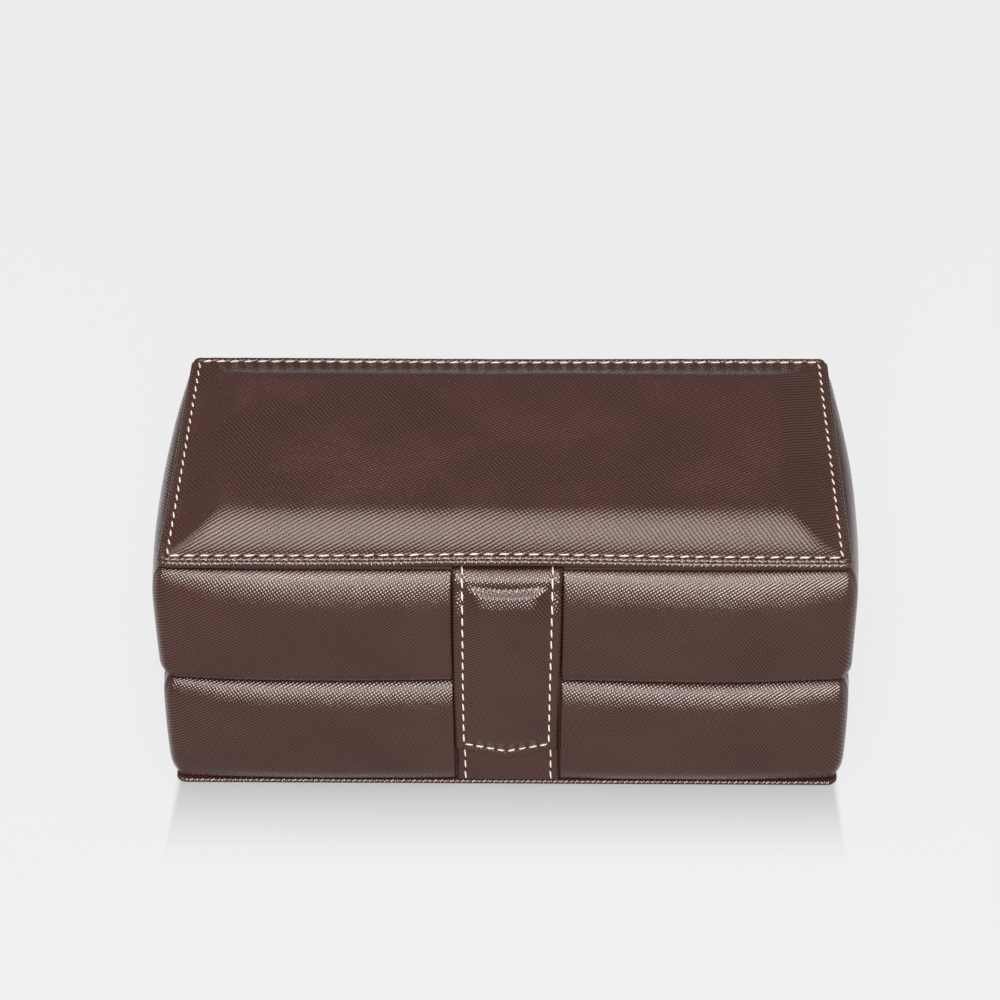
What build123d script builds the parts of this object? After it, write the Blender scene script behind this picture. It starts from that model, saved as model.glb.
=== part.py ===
# Watch box with a lidded upper tray and a drawer below, covered in padded leather.
# Millimetres. +Z is up, the front faces -Y, +X is to the right when facing the front.
# The origin is the centre of the face that the box rests on.

import os

from build123d import *

# Boards of the casing
BODY_WIDTH = 244.0
BODY_DEPTH = 123.0
WALL = 6.0
WALL_TOP = 104.0
INNER_X = BODY_WIDTH / 2 - WALL
INNER_Y = BODY_DEPTH / 2 - WALL

# Base board and the felt under it
FELT = 0.6
FELT_INSET = 3.0
BASE_WIDTH = 250.0
BASE_DEPTH = 128.5
BASE_TOP = 2.4
BASE_CORNER = 4.0
BASE_EDGE = 0.6

# The seam between the tray tier and the drawer tier
SEAM = 52.4
SEAM_GAP = 0.5
SHELF_BOTTOM = 49.5
SHELF_TOP = 53.5

# Padding: thickness at the middle of a wall against the height within the tier
PAD_HEIGHTS = (0.0, 0.045, 0.14, 0.5, 0.86, 0.955, 1.0)
UPPER_CROWNS = (2.6, 4.8, 6.2, 7.2, 7.2, 5.2, 2.6)
LOWER_CROWNS = (2.6, 4.8, 6.6, 7.6, 6.6, 4.6, 2.6)
CORNER_SHARE = 0.62
SLOT_SHARE = 0.8
CORNER_ROUND = 5.0
PAD_SPLIT_Y = -55.4
SPLIT_GAP = 0.3
BACK_SPLIT_Y = 55.5

# Closing strap, and the flat bands that it lies over
STRAP_X = 1.5
STRAP_WIDTH = 39.0
STRAP_LAYERS = (1.5, 1.1)
STRAP_SHOULDER = 25.0
STRAP_POINT = 20.5
STRAP_TOP = 103.9
STRAP_ROUND = 1.2
STRAP_LINING_ROUND = 0.6
SLOT_HALF = 20.1
SLOT_ROUND = 1.6
BAND_WIDTH = 38.6
BAND_THICKNESS = 2.8
BAND_TOP = 102.5
BAND_EDGE = 0.8
TAB_FRONT = -63.9
TAB_BOTTOM = 103.4
TAB_THICKNESS = 1.3
MAGNET_Z = 33.0
MAGNET_RADIUS = 6.0
MAGNET_THICKNESS = 0.9
STRIKE_RADIUS = 7.0
STRIKE_THICKNESS = 1.0

# Lid: a covered board, a stitched padded panel on it, and a lining below
LID_WIDTH = 248.0
LID_DEPTH = 127.0
LID_BOTTOM = 104.7
LID_BOARD_TOP = 108.0
LID_CORNER = 3.0
LID_EDGE = 1.2
PANEL_INSET = 1.0
PANEL_RIM_TOP = 109.0
PANEL_RIM_WIDTH = 4.8
PANEL_SLOPE_RUN = 12.0
PANEL_TOP = 115.0
PANEL_SHOULDER = 9.0
LID_LINING = 1.5
LID_LINING_GAP = 0.9

# Tray: linings, three dividers and four watch cushions
LINING = 1.5
TRAY_FLOOR_TOP = 55.3
TRAY_LINING_TOP = 103.0
DIVIDER = 3.0
DIVIDER_TOP = 92.0
DIVIDER_ROUND = 1.2
CELLS = 4
CUSHION_WIDTH = 50.0
CUSHION_LENGTH = 84.0
CUSHION_HEIGHT = 34.0
CUSHION_REST = 1.8
CUSHION_END_SHARE = 0.82

# Drawer
DRAWER_LIFT = 0.5
DRAWER_FRONT_TOP = 52.0
DRAWER_SIDE_GAP = 1.2
DRAWER_BACK_GAP = 3.0
DRAWER_WALL = 5.0
DRAWER_WALL_ROUND = 1.2
DRAWER_BOTTOM = 4.0
DRAWER_HEIGHT = 42.0
DRAWER_LINING = 1.0
DRAWER_DIVIDER = 3.0
DRAWER_DIVIDER_HEIGHT = 28.0
ROLLS = 4
ROLL_RADIUS = 8.0
ROLL_PITCH = 16.3
ROLL_FLAT = 1.4
ROLL_END_GAP = 0.8
ROLL_END_ROUND = 1.6

# Hinges: two butt hinges behind the lid, each with five knuckles on one pin
HINGE_X = 70.0
HINGE_Y = 65.25
HINGE_Z = (WALL_TOP + LID_BOTTOM) / 2
HINGE_WIDTH = 30.0
KNUCKLES = 5
KNUCKLE_GAP = 0.1
BARREL_RADIUS = 1.6
PIN_RADIUS = 0.8
FIXED_FIT = 0.02
RUNNING_FIT = 0.05
LEAF = 0.9
LEAF_FRONT = 56.8
LEAF_BACK = 63.5
SCREW_HEAD_RADIUS = 1.7
SCREW_SHANK_RADIUS = 0.8
WALL_SCREW_LENGTH = 5.0
LID_SCREW_LENGTH = 2.9
SCREW_Y = 59.3
SCREW_SPREAD = 8.5
HINGE_XS = (-HINGE_X, HINGE_X)
SCREW_XS = tuple(x + side * SCREW_SPREAD for x in HINGE_XS for side in (-1, 1))
PAD_NOTCH_BOTTOM = 102.1

os.makedirs("parts", exist_ok=True)
pieces = {}


# Bowed plan outline of one tier at one height, with a flat stretch behind the strap
def tier_outline(thickness):
    corner = thickness * CORNER_SHARE
    half_x = BODY_WIDTH / 2 + corner
    half_y = BODY_DEPTH / 2 + corner
    crown_x = BODY_WIDTH / 2 + thickness
    crown_y = BODY_DEPTH / 2 + thickness
    slot_y = BODY_DEPTH / 2 + thickness * SLOT_SHARE
    left = STRAP_X - SLOT_HALF
    right = STRAP_X + SLOT_HALF
    with BuildLine() as outline:
        ThreePointArc((-half_x, -half_y), ((left - half_x) / 2, -crown_y), (left, -slot_y))
        Line((left, -slot_y), (right, -slot_y))
        ThreePointArc((right, -slot_y), ((right + half_x) / 2, -crown_y), (half_x, -half_y))
        ThreePointArc((half_x, -half_y), (crown_x, 0), (half_x, half_y))
        ThreePointArc((half_x, half_y), (0, crown_y), (-half_x, half_y))
        ThreePointArc((-half_x, half_y), (-crown_x, 0), (-half_x, -half_y))
    make_face(outline.line.edges())


# Padded ring round the boards of one tier, thin along both of its seams
def tier_ring(bottom, top, crowns):
    with BuildPart() as ring:
        for share, thickness in zip(PAD_HEIGHTS, crowns):
            with BuildSketch(Plane.XY.offset(bottom + share * (top - bottom))) as section:
                tier_outline(thickness)
                corners = section.vertices().sort_by(lambda corner: abs(corner.X))[-4:]
                fillet(corners, radius=CORNER_ROUND)
        loft()
        with BuildSketch(Plane.XY.offset(bottom)):
            Rectangle(BODY_WIDTH, BODY_DEPTH)
        extrude(amount=top - bottom, mode=Mode.SUBTRACT)
    return ring.part


# The piece of a ring that lies inside a plan rectangle
def ring_piece(ring, x_low, x_high, y_low, y_high):
    with BuildPart() as piece:
        add(ring)
        with BuildSketch(Plane.XY.offset(BASE_TOP)):
            with Locations(((x_low + x_high) / 2, (y_low + y_high) / 2)):
                Rectangle(x_high - x_low, y_high - y_low)
        extrude(amount=WALL_TOP, mode=Mode.INTERSECT)
    return piece.part


# A plain board or lining between two corners
def plate(x_low, x_high, y_low, y_high, z_low, z_high, mode=Mode.ADD):
    with Locations(((x_low + x_high) / 2, (y_low + y_high) / 2, (z_low + z_high) / 2)):
        Box(x_high - x_low, y_high - y_low, z_high - z_low, mode=mode)


# A box-shaped cut between two corners
def pocket(x_low, x_high, y_low, y_high, z_low, z_high):
    plate(x_low, x_high, y_low, y_high, z_low, z_high, mode=Mode.SUBTRACT)


# Countersunk screw, its head flush with the leaf and its shank beyond it
def screw(x, head_z, direction, length):
    seat = Plane(origin=(x, SCREW_Y, head_z), z_dir=(0, 0, direction))
    upright = (Align.CENTER, Align.CENTER, Align.MIN)
    with Locations(seat):
        Cone(SCREW_HEAD_RADIUS, SCREW_SHANK_RADIUS, LEAF, align=upright)
    with Locations(seat.offset(LEAF)):
        Cylinder(SCREW_SHANK_RADIUS, length - LEAF, align=upright)


# Base felt and base board
with BuildPart() as base_felt:
    with BuildSketch():
        RectangleRounded(BASE_WIDTH - 2 * FELT_INSET, BASE_DEPTH - 2 * FELT_INSET, BASE_CORNER)
    extrude(amount=FELT)
pieces["base_felt"] = base_felt

with BuildPart() as base_board:
    with BuildSketch(Plane.XY.offset(FELT)):
        RectangleRounded(BASE_WIDTH, BASE_DEPTH, BASE_CORNER)
    extrude(amount=BASE_TOP - FELT)
    rims = base_board.edges().group_by(Axis.Z)
    chamfer(rims[0] + rims[-1], length=BASE_EDGE)
pieces["base_board"] = base_board

# Side walls, which stop behind the front wall above and the drawer front below
for name, x_low, x_high in (
    ("left_wall", -BODY_WIDTH / 2, -INNER_X),
    ("right_wall", INNER_X, BODY_WIDTH / 2),
):
    with BuildPart() as side_wall:
        plate(x_low, x_high, -INNER_Y, BODY_DEPTH / 2, BASE_TOP, WALL_TOP)
    pieces[name] = side_wall

# Hinge screws: down through the lower leaves into the wall, up through the upper ones into the lid
with BuildPart() as wall_screws:
    for x in SCREW_XS:
        screw(x, WALL_TOP, -1, WALL_SCREW_LENGTH)
pieces["wall_screws"] = wall_screws

with BuildPart() as lid_screws:
    for x in SCREW_XS:
        screw(x, LID_BOTTOM, 1, LID_SCREW_LENGTH)
pieces["lid_screws"] = lid_screws

# Back wall, with seats for the lower hinge leaves
with BuildPart() as back_wall:
    plate(-INNER_X, INNER_X, INNER_Y, BODY_DEPTH / 2, BASE_TOP, WALL_TOP)
    for x in HINGE_XS:
        half = HINGE_WIDTH / 2
        pocket(x - half, x + half, LEAF_FRONT, BODY_DEPTH / 2, WALL_TOP - LEAF, WALL_TOP)
    add(wall_screws.part, mode=Mode.SUBTRACT)
pieces["back_wall"] = back_wall

# The front wall of the tray, with a shallow seat for the root of the strap
with BuildPart() as upper_front_wall:
    plate(-BODY_WIDTH / 2, BODY_WIDTH / 2, -BODY_DEPTH / 2, -INNER_Y, SEAM + SEAM_GAP / 2, WALL_TOP)
    pocket(STRAP_X - SLOT_HALF, STRAP_X + SLOT_HALF, -BODY_DEPTH / 2, -INNER_Y, TAB_BOTTOM - SEAM_GAP, WALL_TOP)
pieces["upper_front_wall"] = upper_front_wall

with BuildPart() as shelf_board:
    plate(-INNER_X, INNER_X, -INNER_Y, INNER_Y, SHELF_BOTTOM, SHELF_TOP)
pieces["shelf_board"] = shelf_board

# Padding of the two tiers, and where each ring is parted
upper_ring = tier_ring(SEAM + SEAM_GAP / 2, WALL_TOP, UPPER_CROWNS)
lower_ring = tier_ring(BASE_TOP + DRAWER_LIFT, SEAM - SEAM_GAP / 2, LOWER_CROWNS)
REACH = BODY_WIDTH
slot_left = STRAP_X - SLOT_HALF
slot_right = STRAP_X + SLOT_HALF
front_edge = PAD_SPLIT_Y - SPLIT_GAP
side_edge = PAD_SPLIT_Y + SPLIT_GAP

for name, ring, x_low, x_high, inner_end in (
    ("upper_front_left_pad", upper_ring, -REACH, slot_left, slot_left),
    ("upper_front_right_pad", upper_ring, slot_right, REACH, slot_right),
    ("drawer_front_left_pad", lower_ring, -REACH, slot_left, slot_left),
    ("drawer_front_right_pad", lower_ring, slot_right, REACH, slot_right),
):
    with BuildPart() as front_pad:
        add(ring_piece(ring, x_low, x_high, -REACH, front_edge))
        inner_face = front_pad.faces().filter_by(Axis.X).sort_by(lambda face: abs(face.center().X - inner_end))[0]
        front_line = inner_face.edges().sort_by(Axis.Y)[0]
        fillet(front_line, radius=SLOT_ROUND)
    pieces[name] = front_pad

for name, ring, side in (
    ("upper_left_pad", upper_ring, -1),
    ("upper_right_pad", upper_ring, 1),
    ("lower_left_pad", lower_ring, -1),
    ("lower_right_pad", lower_ring, 1),
):
    x_low, x_high = (-REACH, 0) if side < 0 else (0, REACH)
    with BuildPart() as side_pad:
        add(ring_piece(ring, x_low, x_high, side_edge, BACK_SPLIT_Y))
    pieces[name] = side_pad

for name, ring in (("upper_back_pad", upper_ring), ("lower_back_pad", lower_ring)):
    with BuildPart() as back_pad:
        add(ring_piece(ring, -REACH, REACH, BACK_SPLIT_Y, REACH))
        if ring is upper_ring:
            for x in HINGE_XS:
                notch_half = HINGE_WIDTH / 2 + 1
                pocket(x - notch_half, x + notch_half, INNER_Y, REACH, PAD_NOTCH_BOTTOM, WALL_TOP)
    pieces[name] = back_pad

# Flat bands behind the strap, one on each tier
for name, z_low, z_high in (
    ("upper_band", SEAM + SEAM_GAP / 2, BAND_TOP),
    ("drawer_band", BASE_TOP + DRAWER_LIFT, SEAM - SEAM_GAP / 2),
):
    with BuildPart() as band:
        front = -BODY_DEPTH / 2 - BAND_THICKNESS
        plate(STRAP_X - BAND_WIDTH / 2, STRAP_X + BAND_WIDTH / 2, front, -BODY_DEPTH / 2, z_low, z_high)
        fillet(band.edges().filter_by(Axis.Z).group_by(Axis.Y)[0], radius=BAND_EDGE)
    pieces[name] = band

# Tray floor and wall linings
lining_x = INNER_X - LINING
lining_y = INNER_Y - LINING
with BuildPart() as tray_floor:
    plate(-INNER_X, INNER_X, -INNER_Y, INNER_Y, SHELF_TOP, TRAY_FLOOR_TOP)
pieces["tray_floor"] = tray_floor

for name, x_low, x_high, y_low, y_high in (
    ("tray_left_lining", -INNER_X, -lining_x, -INNER_Y, INNER_Y),
    ("tray_right_lining", lining_x, INNER_X, -INNER_Y, INNER_Y),
    ("tray_front_lining", -lining_x, lining_x, -INNER_Y, -lining_y),
    ("tray_back_lining", -lining_x, lining_x, lining_y, INNER_Y),
):
    with BuildPart() as tray_lining:
        plate(x_low, x_high, y_low, y_high, TRAY_FLOOR_TOP, TRAY_LINING_TOP)
    pieces[name] = tray_lining

# Dividers between the four cells
cell_width = (2 * lining_x - (CELLS - 1) * DIVIDER) / CELLS
for number, name in enumerate(("left_divider", "middle_divider", "right_divider"), start=1):
    x = -lining_x + number * cell_width + (number - 0.5) * DIVIDER
    with BuildPart() as divider:
        plate(x - DIVIDER / 2, x + DIVIDER / 2, -lining_y, lining_y, TRAY_FLOOR_TOP, DIVIDER_TOP)
        top_edges = divider.edges().filter_by(Axis.Y).group_by(Axis.Z)[-1]
        fillet(top_edges, radius=DIVIDER_ROUND)
    pieces[name] = divider

# Watch cushions: oval bolsters, drawn in towards their two end panels and flat below
cushion_middle = TRAY_FLOOR_TOP + CUSHION_HEIGHT / 2 - CUSHION_REST / 2
for number in range(CELLS):
    x = -lining_x + number * (cell_width + DIVIDER) + cell_width / 2
    with BuildPart() as cushion:
        for station, share in ((-0.5, CUSHION_END_SHARE), (0, 1), (0.5, CUSHION_END_SHARE)):
            with BuildSketch(Plane.YZ.offset(x + station * CUSHION_WIDTH)):
                with Locations((0, cushion_middle)):
                    Ellipse(CUSHION_LENGTH / 2 * share, (CUSHION_HEIGHT + CUSHION_REST) / 2 * share)
        loft()
        split(bisect_by=Plane.XY.offset(TRAY_FLOOR_TOP), keep=Keep.TOP)
    pieces[f"watch_cushion_{number + 1}"] = cushion

# Drawer front board, with a pocket for the plate that the strap's magnet holds to
front_bottom = BASE_TOP + DRAWER_LIFT
with BuildPart() as drawer_front_board:
    plate(-BODY_WIDTH / 2, BODY_WIDTH / 2, -BODY_DEPTH / 2, front_edge, front_bottom, DRAWER_FRONT_TOP)
    with BuildSketch(Plane.XZ.offset(BODY_DEPTH / 2 - STRIKE_THICKNESS)):
        with Locations((STRAP_X, MAGNET_Z)):
            Circle(STRIKE_RADIUS)
    extrude(amount=STRIKE_THICKNESS, mode=Mode.SUBTRACT)
pieces["drawer_front_board"] = drawer_front_board

with BuildPart() as strike_plate:
    with BuildSketch(Plane.XZ.offset(BODY_DEPTH / 2 - STRIKE_THICKNESS)):
        with Locations((STRAP_X, MAGNET_Z)):
            Circle(STRIKE_RADIUS)
    extrude(amount=STRIKE_THICKNESS)
pieces["strike_plate"] = strike_plate

# Drawer box
drawer_x = INNER_X - DRAWER_SIDE_GAP
drawer_back = INNER_Y - DRAWER_BACK_GAP
drawer_floor = front_bottom + DRAWER_BOTTOM
drawer_inner_x = drawer_x - DRAWER_WALL
drawer_inner_back = drawer_back - DRAWER_WALL
with BuildPart() as drawer_bottom:
    plate(-drawer_x, drawer_x, front_edge, drawer_back, front_bottom, drawer_floor)
pieces["drawer_bottom"] = drawer_bottom

for name, x_low, x_high, y_low, y_high in (
    ("drawer_left_side", -drawer_x, -drawer_inner_x, front_edge, drawer_back),
    ("drawer_right_side", drawer_inner_x, drawer_x, front_edge, drawer_back),
    ("drawer_back", -drawer_inner_x, drawer_inner_x, drawer_inner_back, drawer_back),
):
    with BuildPart() as drawer_wall:
        plate(x_low, x_high, y_low, y_high, drawer_floor, front_bottom + DRAWER_HEIGHT)
        fillet(drawer_wall.edges().group_by(Axis.Z)[-1], radius=DRAWER_WALL_ROUND)
    pieces[name] = drawer_wall

lining_top = drawer_floor + DRAWER_LINING
with BuildPart() as drawer_lining:
    plate(-drawer_inner_x, drawer_inner_x, front_edge, drawer_inner_back, drawer_floor, lining_top)
pieces["drawer_lining"] = drawer_lining

# Ring rolls on the left of the drawer, two open cells to their right
roll_start = -drawer_inner_x + 0.5
roll_middle = lining_top + ROLL_RADIUS - ROLL_FLAT
for number in range(ROLLS):
    x = roll_start + (number + 0.5) * ROLL_PITCH
    with BuildPart() as ring_roll:
        with BuildSketch(Plane.XZ.offset(-(drawer_inner_back - ROLL_END_GAP))):
            with Locations((x, roll_middle)):
                Circle(ROLL_RADIUS)
        extrude(amount=drawer_inner_back - front_edge - 2 * ROLL_END_GAP)
        chamfer(ring_roll.edges().filter_by(GeomType.CIRCLE), length=ROLL_END_ROUND)
        split(bisect_by=Plane.XY.offset(lining_top), keep=Keep.TOP)
    pieces[f"ring_roll_{number + 1}"] = ring_roll

rolls_end = roll_start + ROLLS * ROLL_PITCH + 0.5
cells_left = rolls_end + DRAWER_DIVIDER
cells_middle = (cells_left + drawer_inner_x) / 2
for name, x in (("drawer_left_divider", rolls_end), ("drawer_right_divider", cells_middle - DRAWER_DIVIDER / 2)):
    with BuildPart() as drawer_divider:
        divider_top = lining_top + DRAWER_DIVIDER_HEIGHT
        plate(x, x + DRAWER_DIVIDER, front_edge, drawer_inner_back, lining_top, divider_top)
    pieces[name] = drawer_divider

# Lid board, with seats for the upper hinge leaves
with BuildPart() as lid_board:
    with BuildSketch(Plane.XY.offset(LID_BOTTOM)):
        RectangleRounded(LID_WIDTH, LID_DEPTH, LID_CORNER)
    extrude(amount=LID_BOARD_TOP - LID_BOTTOM)
    rims = lid_board.edges().group_by(Axis.Z)
    fillet(rims[-1], radius=LID_EDGE)
    chamfer(rims[0], length=LID_EDGE / 2)
    for x in HINGE_XS:
        half = HINGE_WIDTH / 2
        pocket(x - half, x + half, LEAF_FRONT, LID_DEPTH, LID_BOTTOM, LID_BOTTOM + LEAF)
    add(lid_screws.part, mode=Mode.SUBTRACT)
pieces["lid_board"] = lid_board

# Stitched panel: a flat sewn rim, four slopes mitred at the corners and a flat top
panel_width = LID_WIDTH - 2 * PANEL_INSET
panel_depth = LID_DEPTH - 2 * PANEL_INSET
foot_width = panel_width - 2 * PANEL_RIM_WIDTH
foot_depth = panel_depth - 2 * PANEL_RIM_WIDTH
with BuildPart() as lid_panel:
    with BuildSketch(Plane.XY.offset(LID_BOARD_TOP)):
        RectangleRounded(panel_width, panel_depth, LID_CORNER)
    extrude(amount=PANEL_RIM_TOP - LID_BOARD_TOP)
    with BuildSketch(Plane.XY.offset(PANEL_RIM_TOP)):
        Rectangle(foot_width, foot_depth)
    with BuildSketch(Plane.XY.offset(PANEL_TOP)):
        Rectangle(foot_width - 2 * PANEL_SLOPE_RUN, foot_depth - 2 * PANEL_SLOPE_RUN)
    loft()
    fillet(lid_panel.edges().group_by(Axis.Z)[-1], radius=PANEL_SHOULDER)
pieces["lid_panel"] = lid_panel

with BuildPart() as lid_lining_pad:
    with BuildSketch(Plane.XY.offset(LID_BOTTOM - LID_LINING)):
        RectangleRounded(2 * (lining_x - LID_LINING_GAP), 2 * (lining_y - LID_LINING_GAP), LID_CORNER)
    extrude(amount=LID_LINING)
pieces["lid_lining"] = lid_lining_pad

with BuildPart() as strap_tab:
    tab_half = STRAP_WIDTH / 2
    plate(STRAP_X - tab_half, STRAP_X + tab_half, TAB_FRONT, -INNER_Y, TAB_BOTTOM, TAB_BOTTOM + TAB_THICKNESS)
pieces["strap_tab"] = strap_tab

# Side view of the strap's front face, from the lid's edge over the padding to the point
STRAP_BEND = ((-67.2, STRAP_TOP), (-68.6, 97.5), (-69.0, 88.0), (-68.4, 64.0), (-67.3, 42.0))
STRAP_FACE_Y = STRAP_BEND[-1][0]


# One layer of the strap, between two depths behind its front face
def strap_layer(front_depth, back_depth):
    front = [(y + front_depth, z) for y, z in STRAP_BEND]
    back = [(y + back_depth, z) for y, z in STRAP_BEND]
    with BuildSketch(Plane.YZ.offset(STRAP_X - STRAP_WIDTH / 2)) as side_view:
        with BuildLine():
            Spline(*front)
            Line(front[-1], (STRAP_FACE_Y + front_depth, STRAP_POINT))
            Line((STRAP_FACE_Y + front_depth, STRAP_POINT), (STRAP_FACE_Y + back_depth, STRAP_POINT))
            Line((STRAP_FACE_Y + back_depth, STRAP_POINT), back[-1])
            Spline(*back)
            Line(back[0], front[0])
        make_face()
    extrude(side_view.sketch, amount=STRAP_WIDTH)
    half = STRAP_WIDTH / 2
    with BuildSketch(Plane.XZ) as front_view:
        with BuildLine():
            Polyline(
                (STRAP_X - half, STRAP_TOP),
                (STRAP_X - half, STRAP_SHOULDER),
                (STRAP_X, STRAP_POINT),
                (STRAP_X + half, STRAP_SHOULDER),
                (STRAP_X + half, STRAP_TOP),
                close=True,
            )
        make_face()
    extrude(front_view.sketch, amount=BODY_DEPTH, mode=Mode.INTERSECT)


outer_depth = STRAP_LAYERS[0]
whole_depth = sum(STRAP_LAYERS)
pocket_plane = Plane.XZ.offset(-(STRAP_FACE_Y + outer_depth))
with BuildPart() as strap_outer:
    strap_layer(0, outer_depth)
    top_front = strap_outer.edges().filter_by(Axis.X).group_by(Axis.Z)[-1].sort_by(Axis.Y)[0]
    fillet(top_front, radius=STRAP_ROUND)
    with BuildSketch(pocket_plane):
        with Locations((STRAP_X, MAGNET_Z)):
            Circle(MAGNET_RADIUS)
    extrude(amount=MAGNET_THICKNESS, mode=Mode.SUBTRACT)
pieces["strap_outer"] = strap_outer

with BuildPart() as strap_lining:
    strap_layer(outer_depth, whole_depth)
    top_back = strap_lining.edges().filter_by(Axis.X).group_by(Axis.Z)[-1].sort_by(Axis.Y)[-1]
    fillet(top_back, radius=STRAP_LINING_ROUND)
pieces["strap_lining"] = strap_lining

with BuildPart() as strap_magnet:
    with BuildSketch(pocket_plane):
        with Locations((STRAP_X, MAGNET_Z)):
            Circle(MAGNET_RADIUS)
    extrude(amount=MAGNET_THICKNESS)
pieces["strap_magnet"] = strap_magnet


# One hinge leaf: a plate let into the board and the knuckles that it carries
def hinge_leaf(x, z_low, z_high, carried, bore_radius):
    start = x - HINGE_WIDTH / 2
    knuckle = HINGE_WIDTH / KNUCKLES
    plate(start, start + HINGE_WIDTH, LEAF_FRONT, LEAF_BACK, z_low, z_high)
    for number in carried:
        low = start + number * knuckle + KNUCKLE_GAP / 2
        high = low + knuckle - KNUCKLE_GAP
        plate(low, high, LEAF_BACK, HINGE_Y, z_low, z_high)
        with BuildSketch(Plane.YZ.offset(low)) as barrel:
            with Locations((HINGE_Y, HINGE_Z)):
                Circle(BARREL_RADIUS)
        extrude(barrel.sketch, amount=high - low)
    with BuildSketch(Plane.YZ.offset(start)) as bore:
        with Locations((HINGE_Y, HINGE_Z)):
            Circle(bore_radius)
    extrude(bore.sketch, amount=HINGE_WIDTH, mode=Mode.SUBTRACT)


for side, x in (("left", -HINGE_X), ("right", HINGE_X)):
    with BuildPart() as lower_leaf:
        hinge_leaf(x, WALL_TOP - LEAF, WALL_TOP, range(0, KNUCKLES, 2), PIN_RADIUS + FIXED_FIT)
        add(wall_screws.part, mode=Mode.SUBTRACT)
    pieces[f"{side}_hinge_lower_leaf"] = lower_leaf
    with BuildPart() as upper_leaf:
        hinge_leaf(x, LID_BOTTOM, LID_BOTTOM + LEAF, range(1, KNUCKLES, 2), PIN_RADIUS + RUNNING_FIT)
        add(lid_screws.part, mode=Mode.SUBTRACT)
    pieces[f"{side}_hinge_upper_leaf"] = upper_leaf

with BuildPart() as hinge_pins:
    for x in HINGE_XS:
        with BuildSketch(Plane.YZ.offset(x - HINGE_WIDTH / 2)):
            with Locations((HINGE_Y, HINGE_Z)):
                Circle(PIN_RADIUS)
        extrude(amount=HINGE_WIDTH)
pieces["hinge_pins"] = hinge_pins

for name, piece in pieces.items():
    piece.part.label = name
    export_step(piece.part, f"parts/{name}.step")
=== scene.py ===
import math
import random

import bmesh
import bpy
from mathutils import Matrix, Vector, noise


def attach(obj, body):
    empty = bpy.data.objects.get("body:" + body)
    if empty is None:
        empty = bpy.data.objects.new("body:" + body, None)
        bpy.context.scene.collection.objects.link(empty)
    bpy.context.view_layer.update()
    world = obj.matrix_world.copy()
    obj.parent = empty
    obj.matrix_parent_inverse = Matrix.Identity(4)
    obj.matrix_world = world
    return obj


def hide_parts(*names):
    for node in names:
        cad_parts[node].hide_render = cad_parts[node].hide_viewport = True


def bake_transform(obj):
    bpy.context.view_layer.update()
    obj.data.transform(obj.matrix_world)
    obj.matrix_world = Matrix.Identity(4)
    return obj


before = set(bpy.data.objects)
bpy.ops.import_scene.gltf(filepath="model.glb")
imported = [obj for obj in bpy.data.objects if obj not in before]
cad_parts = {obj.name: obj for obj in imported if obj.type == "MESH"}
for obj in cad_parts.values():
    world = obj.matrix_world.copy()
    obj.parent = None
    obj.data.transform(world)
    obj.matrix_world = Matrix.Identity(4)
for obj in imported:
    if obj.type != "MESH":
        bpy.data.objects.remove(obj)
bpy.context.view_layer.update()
print("frame loaded")

# Where the photograph was taken from, in metres and degrees
view = {
    "elevation": 37.7,
    "yaw": 1.4,
    "roll": -0.68,
    "distance": 1.088,
    "lens": 103.79,
    "sensor": 36.0,
    "target": (-0.0026, 0.0, 0.08684),
}


def newObject(name, data):
    made = bpy.data.objects.new(name, data)
    bpy.context.scene.collection.objects.link(made)
    return made


def placeCamera():
    elevation, yaw, roll = (math.radians(view[key]) for key in ("elevation", "yaw", "roll"))
    level = math.cos(elevation)
    back = Vector((math.sin(yaw) * level, -math.cos(yaw) * level, math.sin(elevation)))
    right = (-back).cross(Vector((0, 0, 1))).normalized()
    up = right.cross(-back)
    turnedRight = right * math.cos(roll) + up * math.sin(roll)
    turnedUp = up * math.cos(roll) - right * math.sin(roll)
    data = bpy.data.cameras.new("camera")
    data.lens, data.sensor_width = view["lens"], view["sensor"]
    camera = newObject("camera", data)
    place = Matrix((turnedRight, turnedUp, back)).transposed().to_4x4()
    place.translation = Vector(view["target"]) + back * view["distance"]
    camera.matrix_world = place
    bpy.context.scene.camera = camera


placeCamera()
bpy.context.scene.view_settings.view_transform = "Standard"


# Small helpers

def ease(t):
    t = min(max(t, 0.0), 1.0)
    return t * t * (3 - 2 * t)


def bell(t):
    return math.exp(-t * t)


def ripple(x, y, z):
    return noise.noise(Vector((x, y, z)))


def newPiece(name, bm, body, material, replaced=()):
    mesh = bpy.data.meshes.new(name)
    bm.to_mesh(mesh)
    bm.free()
    piece = newObject(name, mesh)
    mesh.materials.append(material)
    for face in mesh.polygons:
        face.use_smooth = True
    if replaced:
        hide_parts(*replaced)
    if body:
        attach(piece, body)
    return piece


def subdivide(piece, levels=1):
    modifier = piece.modifiers.new("subdivision", "SUBSURF")
    modifier.levels = modifier.render_levels = levels
    modifier.subdivision_type = "CATMULL_CLARK"


def outward(bm):
    bmesh.ops.recalc_face_normals(bm, faces=bm.faces)


def vertsOf(made):
    return [item for item in made["geom"] if isinstance(item, bmesh.types.BMVert)]


def closeHoles(bm):
    bmesh.ops.holes_fill(bm, edges=[e for e in bm.edges if e.is_boundary], sides=0)


def layGrain(bm, layer, spot):
    # spot gives each point's place on the flat leather, in real metres
    for face in bm.faces:
        for loop in face.loops:
            loop[layer].uv = spot(loop.vert)


def boxUv(bm):
    # Lays the grain flat on each side in real metres
    layer = bm.loops.layers.uv.verify()
    for face in bm.faces:
        n = face.normal
        side = max(range(3), key=lambda axis: abs(n[axis]))
        for loop in face.loops:
            x, y, z = loop.vert.co
            loop[layer].uv = ((y, z), (x, z), (x, y))[side]


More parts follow.
